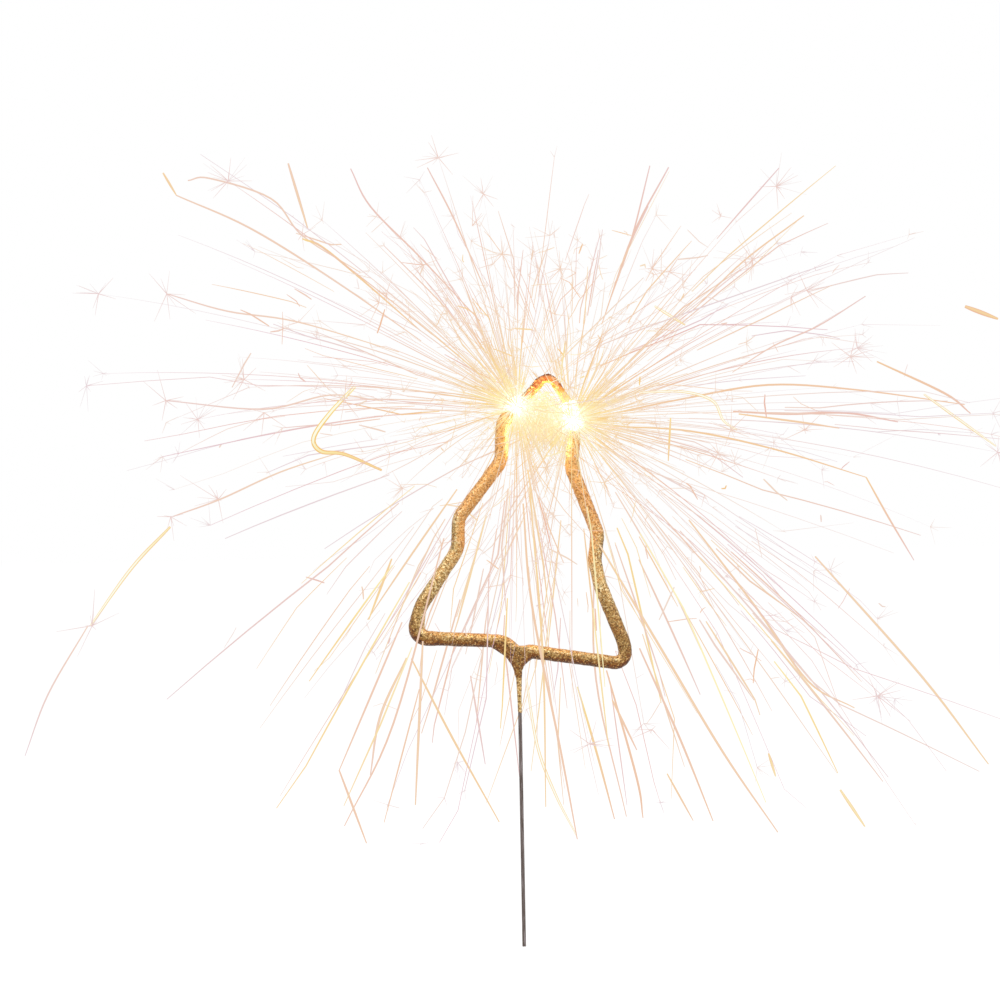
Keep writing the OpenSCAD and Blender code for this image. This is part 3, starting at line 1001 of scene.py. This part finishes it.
def standout(trails, trail):
    """One such trail. A thick one has a paler core, which shows at its front and its back."""
    r, (warm, cool), strength, (near, far), *places = trail
    depths = graded(near, far, len(places))
    line = curve_through([Vector((x, depth, z)) for (x, z), depth in zip(places, depths)])
    warmths = graded(warm, cool, len(line))
    radii = swelling(len(line), r, head=0.35)
    trails.tube(line, radii, warmths, strength, STANDOUT_SIDES)
    if r > THICK_R:
        for depth in (-1, 1):
            core = [p + Vector((0, depth * size * CORE_SHARE, 0)) for p, size in zip(line, radii)]
            trails.tube(core, [size * CORE_SHARE for size in radii],
                        [min(1, w + CORE_WARMTH) for w in warmths], strength / 2, STANDOUT_SIDES)


def burst(name, side, front, other_front, crust_way, seed, drift, fine_count):
    """All the sparks of one front. Its fine ones drift a way of their own."""
    node = name + "_sparks"
    toward = other_front - front
    glow = Trails(front, seed)
    halo(glow, toward)
    hearth(glow, toward)
    beard(glow, toward)
    mat(glow, crust_way)
    glow.finished(name + "_glow", node)
    near = Trails(front, seed + 1)
    fine_sparks(near, crust_way, drift, fine_count)
    far = Trails(front, seed + 2)
    own_sparks(near, far, side, crust_way)
    near.finished(name + "_short_sparks", node)
    for count, flat in BUNCHES:
        bunches(far, crust_way, count, flat)
    for fan in PLUMES:
        plume(far, side, *fan)
    strays(far)
    for trail in STANDOUT:
        if trail[4][0] * side > 0:
            standout(far, trail)
    for (x, z), depth, rays, longest in STARS:
        if x * side > 0:
            far.star(Vector((x, depth, z)), rays, longest, STAR_R, STAR_EXTRA, None, STAR_STRENGTH)
    far.finished(name + "_long_sparks", node)


# Materials

# Where gold flecks begin on the steel, and where they are full, by height
FLECKS_Z = (69.5, 73.5)


def new_material(name, glows=True):
    """A material, its nodes and its shader. One that glows isn't sampled as a lamp."""
    material = bpy.data.materials.new(name)
    material.use_nodes = True
    if glows:
        material.cycles.emission_sampling = "NONE"
    return material, material.node_tree, material.node_tree.nodes["Principled BSDF"]


def feed(socket, value):
    """Gives an input its value, or links it to another node's output"""
    if isinstance(value, bpy.types.NodeSocket):
        socket.id_data.links.new(value, socket)
    else:
        socket.default_value = value


def tune(node, **values):
    """Feeds a node's inputs, each named with underscores for its spaces"""
    for name, value in values.items():
        feed(node.inputs[name.replace("_", " ")], value)


def add(tree, kind, **values):
    """A node with its settings, and its inputs where a value names one"""
    made = tree.nodes.new("ShaderNode" + kind)
    for name, value in values.items():
        if hasattr(made, name):
            setattr(made, name, value)
        else:
            tune(made, **{name: value})
    return made


def object_place(tree):
    return add(tree, "TexCoord").outputs["Object"]


def painted(tree, name):
    """The value that a mesh keeps on its points by that name"""
    return add(tree, "Attribute", attribute_name=name).outputs["Fac"]


def parts_of(tree, colour):
    """The outputs of a colour's red, green and blue"""
    return add(tree, "SeparateColor", Color=colour).outputs


def ramp(tree, source, stops, easing="LINEAR"):
    """Colours by a factor: stops of place and colour"""
    made = add(tree, "ValToRGB", Fac=source)
    made.color_ramp.interpolation = easing
    elements = made.color_ramp.elements
    elements.remove(elements[1])
    elements[0].position, elements[0].color = stops[0]
    for place, colour in stops[1:]:
        elements.new(place).color = colour
    return made.outputs["Color"]


def mix(tree, factor, a, b, blend="MIX"):
    """One colour over another"""
    made = add(tree, "Mix", data_type="RGBA", blend_type=blend, Factor=factor, A=a, B=b)
    return made.outputs["Result"]


def calculate(tree, operation, a, b):
    made = add(tree, "Math", operation=operation)
    feed(made.inputs[0], a)
    feed(made.inputs[1], b)
    return made.outputs["Value"]


def embossed(tree, height, strength, distance):
    """Normals of a surface that is bumped by a height"""
    return add(tree, "Bump", Strength=strength, Distance=distance, Height=height).outputs["Normal"]


def crust_material():
    """Gold glitter in a brown binder, with painted shade underneath and away from the fronts, painted
    orange firelight where it faces the fire, and painted glints
    """
    material, tree, shader = new_material("gold crust", glows=False)
    place = object_place(tree)
    grains = add(tree, "TexVoronoi", Vector=place, Scale=2300).outputs
    glitter = add(tree, "TexVoronoi", Vector=place, Scale=3300).outputs
    blotches = add(tree, "TexNoise", Vector=place, Scale=230, Detail=4).outputs
    dints = add(tree, "TexNoise", Vector=place, Scale=1500, Detail=2).outputs
    gold = ramp(tree, parts_of(tree, grains["Color"])["Red"], (
        (0.0, srgb(118, 88, 42)), (0.12, srgb(168, 134, 72)), (0.4, srgb(206, 171, 106)),
        (0.7, srgb(224, 192, 130)), (0.88, srgb(250, 228, 172)), (1.0, srgb(255, 248, 210))))
    peach = ramp(tree, blotches["Fac"], ((0.4, grey(0)), (0.68, grey(0.8))))
    gold = mix(tree, peach, gold, mix(tree, 1, gold, srgb(255, 226, 196), "MULTIPLY"))
    sparkle = parts_of(tree, glitter["Color"])
    # Pale glitter flakes, whose bright flash is partly a painted glint
    flash = ramp(tree, sparkle["Green"], ((0.88, grey(0)), (0.92, grey(1))), "CONSTANT")
    gold = mix(tree, flash, gold, srgb(255, 244, 190))
    fire = painted(tree, "fire")
    # Painted shade: darker where little of the fronts' light falls, as underneath and on the sides away
    # from them
    shade = ramp(tree, fire, (
        (0, srgb(124, 79, 20)), (0.074, srgb(168, 124, 62)), (0.152, srgb(174, 150, 108)),
        (0.236, srgb(210, 194, 168)), (0.27, srgb(230, 222, 214)), (0.31, grey(1))))
    gold = mix(tree, 1, gold, shade, "MULTIPLY")
    # Painted glints: glitter highlights laid over the painted shade, so that they show in the dark places
    # too
    glint = ramp(tree, sparkle["Blue"], ((0.84, grey(0)), (0.87, grey(0.6))), "CONSTANT")
    gold = mix(tree, glint, gold, srgb(240, 202, 136))
    # Painted firelight: orange to pale yellow where much of the fronts' light falls, laid over by the
    # share lit
    painted_firelight = ramp(tree, fire, (
        (0.4, srgb(236, 152, 72)), (0.8, srgb(248, 184, 104)), (0.92, srgb(253, 214, 132)),
        (1, srgb(255, 246, 184))))
    lit = ramp(tree, fire, ((0.29, grey(0)), (0.44, grey(0.5)), (0.9, grey(0.9))))
    specks = ramp(tree, dints["Fac"], ((0.38, (0.54, 0.47, 0.39, 1)), (0.46, grey(1))))
    colour = mix(tree, 1, mix(tree, lit, gold, painted_firelight), specks, "MULTIPLY")
    tune(shader, Base_Color=colour, Metallic=0.35, Roughness=0.42,
         Normal=embossed(tree, grains["Distance"], 0.6, 0.15 * MM))
    return material


def slag_material():
    """Crumbly orange slag, dark on its outer side and glowing yellow near the right front"""
    material, tree, shader = new_material("burnt slag")
    crumbs = add(tree, "TexNoise", Vector=object_place(tree), Scale=900, Detail=5).outputs["Fac"]
    colour = ramp(tree, crumbs, (
        (0.28, srgb(176, 88, 42)), (0.38, srgb(220, 124, 64)), (0.52, srgb(238, 152, 88)),
        (0.75, srgb(250, 208, 152))))
    outer = ramp(tree, painted(tree, "outer"), ((0.5, grey(0)), (0.8, grey(0.95))))
    glow = ramp(tree, painted(tree, "fire"), (
        (0.3, srgb(70, 26, 6)), (0.4, srgb(170, 96, 30)), (0.5, srgb(240, 194, 96)),
        (0.7, srgb(255, 236, 140)), (1, srgb(255, 250, 190))))
    tune(shader, Base_Color=mix(tree, outer, colour, srgb(96, 46, 22)), Roughness=0.8,
         Emission_Color=glow, Emission_Strength=0.7, Normal=embossed(tree, crumbs, 0.6, 0.2 * MM))
    return material


def ember_material():
    material, tree, shader = new_material("white heat")
    flicker = add(tree, "TexNoise", Vector=object_place(tree), Scale=700, Detail=3).outputs["Fac"]
    heat = ramp(tree, flicker, ((0.3, srgb(255, 246, 196)), (0.55, srgb(255, 253, 235))))
    tune(shader, Base_Color=heat, Roughness=0.9, Emission_Color=heat, Emission_Strength=1.1)
    return material


def spark_material():
    """Base and emission of one colour, shared so that it adds up to that colour in plain light. It
    goes by warmth, pale or strong."""
    material, tree, shader = new_material("spark light")
    warmth = painted(tree, "warmth")
    pale = ramp(tree, warmth, (
        (0.0, srgb(230, 214, 218)), (0.1, srgb(236, 217, 213)), (0.22, srgb(239, 217, 205)),
        (0.36, srgb(240, 218, 202)), (0.54, srgb(243, 219, 194)), (0.68, srgb(246, 221, 184)),
        (0.79, srgb(247, 223, 176)), (0.87, srgb(249, 232, 188)), (0.93, srgb(253, 245, 213)),
        (0.97, srgb(255, 255, 248))))
    strong = ramp(tree, warmth, (
        (0.0, srgb(226, 188, 196)), (0.2, srgb(234, 186, 172)), (0.4, srgb(240, 190, 150)),
        (0.6, srgb(244, 198, 128)), (0.75, srgb(248, 212, 124)), (0.88, srgb(252, 234, 156)),
        (1.0, srgb(255, 252, 215))))
    colour = mix(tree, painted(tree, "strength"), pale, strong)
    tune(shader, Base_Color=mix(tree, 1, colour, grey(0.06), "MULTIPLY"), Roughness=1,
         Specular_IOR_Level=0, Emission_Color=colour, Emission_Strength=0.95)
    return material


def steel_material():
    """Dark drawn wire with lengthwise streaks, flecked with gold where the crust's film begins"""
    material, tree, shader = new_material("dark drawn steel", glows=False)
    place = object_place(tree)
    along = add(tree, "Mapping", Vector=place, Scale=(1, 1, 0.04)).outputs["Vector"]
    streaks = add(tree, "TexNoise", Vector=along, Scale=5200, Detail=4).outputs["Fac"]
    steel = ramp(tree, streaks, (
        (0.3, srgb(62, 50, 44)), (0.5, srgb(98, 86, 80)), (0.7, srgb(160, 150, 152))))
    specks = add(tree, "TexNoise", Vector=place, Scale=1400, Detail=3).outputs["Fac"]
    height = add(tree, "SeparateXYZ", Vector=place).outputs["Z"]
    rise = add(tree, "MapRange", Value=height, From_Min=FLECKS_Z[0] * MM, From_Max=FLECKS_Z[1] * MM)
    reach_up = calculate(tree, "ADD", rise.outputs["Result"], specks)
    flecks = ramp(tree, reach_up, ((0.95, grey(0)), (1.02, grey(1))))
    tune(shader, Base_Color=mix(tree, flecks, steel, srgb(196, 150, 84)), Metallic=0.6,
         Roughness=0.38, Normal=embossed(tree, streaks, 0.3, 0.03 * MM))
    return material


# Camera, stage and light. The camera's place is in millimetres, all the rest as Blender wants it.

CAMERA_PLACE = Vector((-4.9, -847, 136.2))
CAMERA_LEAN = math.radians(1.05)
LENS = 100
SENSOR_W = 36

FLOOR_HALF = 6
FLOOR_GREY = 0.35
FLOOR_GLOW = 0.815
SKY_LIGHT = 0.55

# The softboxes: name, place, size and power, all aimed at the tree's middle
SOFTBOXES = (("key", (-0.5, -0.8, 0.8), 0.6, 6), ("fill", (0.8, -0.5, 0.3), 0.8, 2))
TREE_MIDDLE = Vector((0, 0, 0.12))
FIRE_POWER = 0.05
FIRE_COLOUR = (1, 0.6, 0.25)
FIRE_R = 0.003


def photo_camera():
    """Square to the tree, upright but for the photo's lean of about one degree"""
    camera = new_object("camera", bpy.data.cameras.new("camera"))
    camera.data.lens = LENS
    camera.data.sensor_width = SENSOR_W
    camera.location = CAMERA_PLACE * MM
    camera.rotation_euler = (math.radians(90), CAMERA_LEAN, 0)
    bpy.context.scene.camera = camera


def seen_directly(tree):
    """1 for camera, glossy and transmission rays, else 0"""
    path = add(tree, "LightPath")
    total = path.outputs["Is Camera Ray"]
    for name in ("Is Glossy Ray", "Is Transmission Ray"):
        total = calculate(tree, "MAXIMUM", total, path.outputs[name])
    return total


def floor():
    """A pale floor that keeps shadows and looks white where it has none"""
    bm = bmesh.new()
    bmesh.ops.create_grid(bm, x_segments=8, y_segments=8, size=FLOOR_HALF)
    mesh = bpy.data.meshes.new("floor")
    bm.to_mesh(mesh)
    bm.free()
    ground = new_object("floor", mesh)
    material, tree, shader = new_material("pale floor")
    glow = calculate(tree, "MULTIPLY", seen_directly(tree), FLOOR_GLOW)
    tune(shader, Base_Color=grey(FLOOR_GREY), Roughness=1, Specular_IOR_Level=0,
         Emission_Color=grey(1), Emission_Strength=glow)
    mesh.materials.append(material)


def sky():
    """White where it is seen, a soft even light elsewhere"""
    world = bpy.data.worlds.new("studio")
    world.use_nodes = True
    bpy.context.scene.world = world
    tree = world.node_tree
    tree.nodes.clear()
    soft = add(tree, "Background", Color=grey(1), Strength=SKY_LIGHT)
    white = add(tree, "Background", Color=grey(1), Strength=1)
    both = add(tree, "MixShader", Fac=seen_directly(tree))
    feed(both.inputs[1], soft.outputs["Background"])
    feed(both.inputs[2], white.outputs["Background"])
    add(tree, "OutputWorld", Surface=both.outputs["Shader"])


def new_lamp(name, kind, place, power):
    lamp = new_object(name, bpy.data.lights.new(name, kind))
    lamp.location = place
    lamp.data.energy = power
    return lamp


def softbox(name, place, size, power):
    lamp = new_lamp(name, "AREA", place, power)
    lamp.data.shape = "DISK"
    lamp.data.size = size
    lamp.rotation_euler = (TREE_MIDDLE - Vector(place)).to_track_quat("-Z", "Y").to_euler()


def fire_lamp(name, front):
    """The warm light that a front throws on the crust"""
    lamp = new_lamp(name, "POINT", front * MM, FIRE_POWER)
    lamp.data.color = FIRE_COLOUR
    lamp.data.shadow_soft_size = FIRE_R


# The bursts: name, side, front, the other front, which way the crust lies, seed, which way the fine
# sparks drift, and how many they are
BURSTS = (
    ("left", -1, *FRONTS, in_space(-heading(SHOULDER)), 11, Vector((-0.05, 0, -0.12)), 240),
    ("right", 1, *reversed(FRONTS), in_space(heading(RIGHT_SHOULDER)), 29, Vector((0.35, 0, -0.15)), 420),
)

bpy.context.scene.view_settings.view_transform = "Standard"
SPARK_MATERIAL = spark_material()
photo_camera()
gold_crust()
burnt_slag()
ember("left_ember", ((LEFT_FRONT, LEFT_BEAD),), "left_front")
ember("right_ember", ((RIGHT_FRONT, RIGHT_BEAD), (FLARE, FLARE_BEAD)), "right_front")
for values in BURSTS:
    burst(*values)
steel = steel_material()
for node in ("stem_wire", "loop_wire"):
    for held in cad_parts[node].material_slots:
        held.material = steel
floor()
sky()
for values in SOFTBOXES:
    softbox(*values)
fire_lamp("left fire", FRONTS[0])
fire_lamp("right fire", FRONTS[1])
